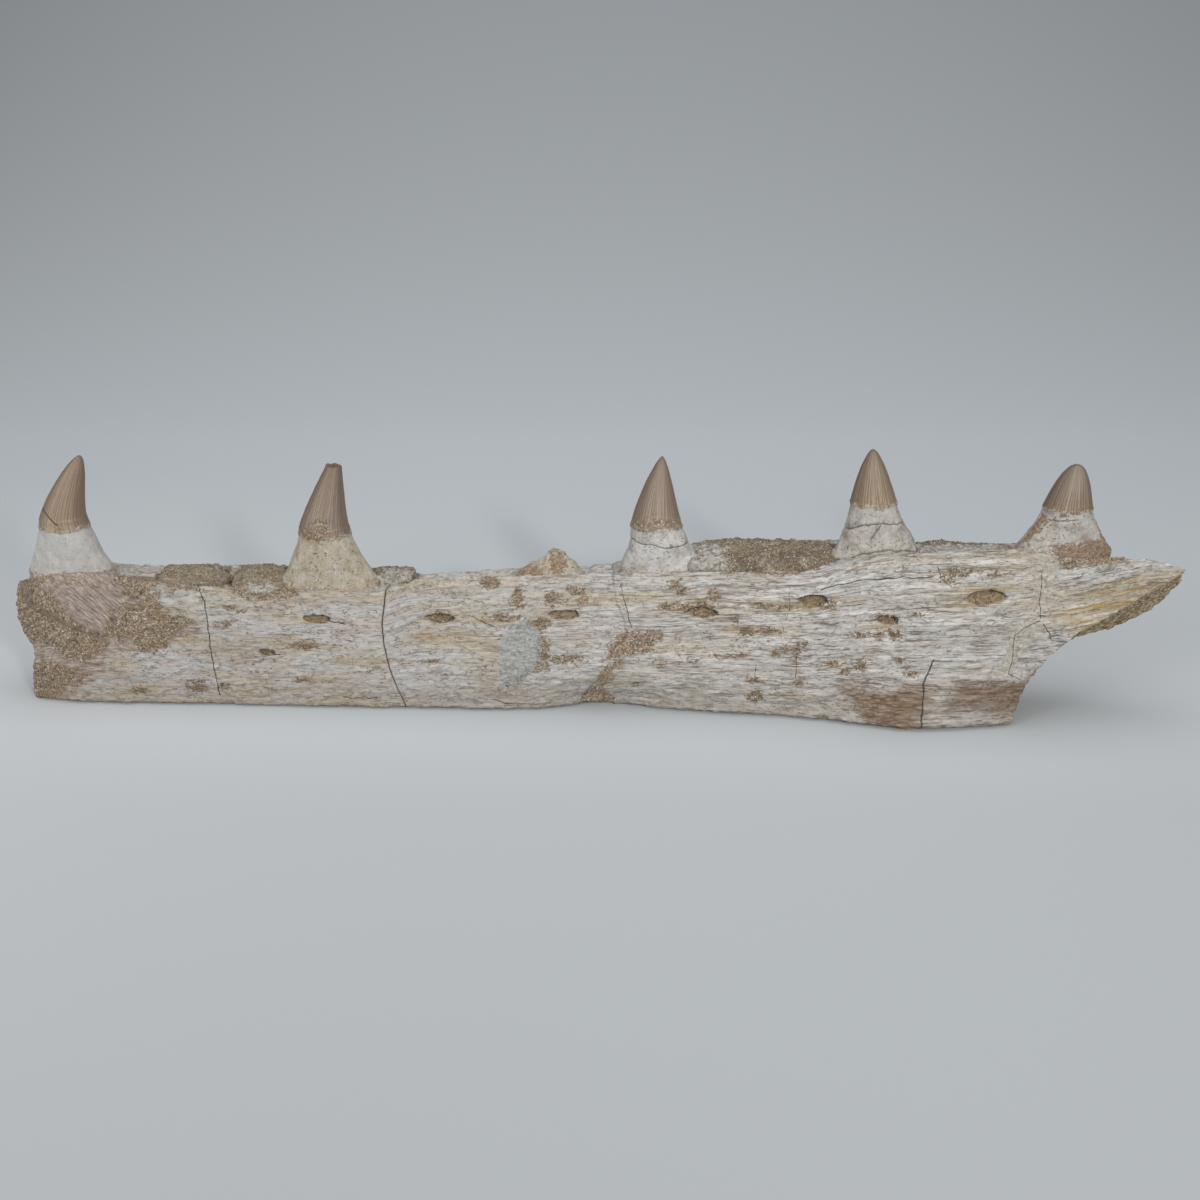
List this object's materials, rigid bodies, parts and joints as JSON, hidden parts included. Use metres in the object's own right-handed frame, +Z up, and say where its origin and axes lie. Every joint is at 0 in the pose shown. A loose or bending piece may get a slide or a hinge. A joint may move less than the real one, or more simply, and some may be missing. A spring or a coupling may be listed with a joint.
{
  "type": "fossil mosasaur jaw",
  "caption": "Fossil front half of a lower jaw bone with curved conical teeth and sandy rock in its empty sockets, standing on its own lower border.",
  "frame": {"origin": "middle of the bounding box in plan, at the height of the flat underside", "axes": "+X along the jaw from its front end to its rear end, -Y out of the lip-side face, +Z up through the teeth"},
  "size_m": [0.4906, 0.0614, 0.112],
  "materials": {
    "weathered_bone": "matt, finely grained fossil bone, off-white with brown stains",
    "root_cementum": "matt, off-white and pitted",
    "tooth_enamel": "satin tan enamel with fine lengthwise ridges",
    "sandy_matrix": "rough, grainy brown sandstone"
  },
  "bodies": {
    "root": {"matrix_front_cap": "sandy_matrix", "dentary_front": "weathered_bone", "dentary_middle": "weathered_bone", "dentary_rear": "weathered_bone", "tooth_1_root": "root_cementum", "tooth_1_crown": "tooth_enamel", "tooth_2_root": "root_cementum", "tooth_2_crown": "tooth_enamel", "tooth_3_root": "root_cementum", "tooth_3_crown": "tooth_enamel", "tooth_4_root": "root_cementum", "tooth_4_crown": "tooth_enamel", "tooth_5_root": "root_cementum", "tooth_5_crown": "tooth_enamel", "tooth_stump_root": "root_cementum", "matrix_fill_1": "sandy_matrix", "matrix_fill_2": "sandy_matrix", "matrix_fill_3": "sandy_matrix", "matrix_fill_4": "sandy_matrix", "matrix_fill_5": "sandy_matrix"}
  },
  "joints": []
}
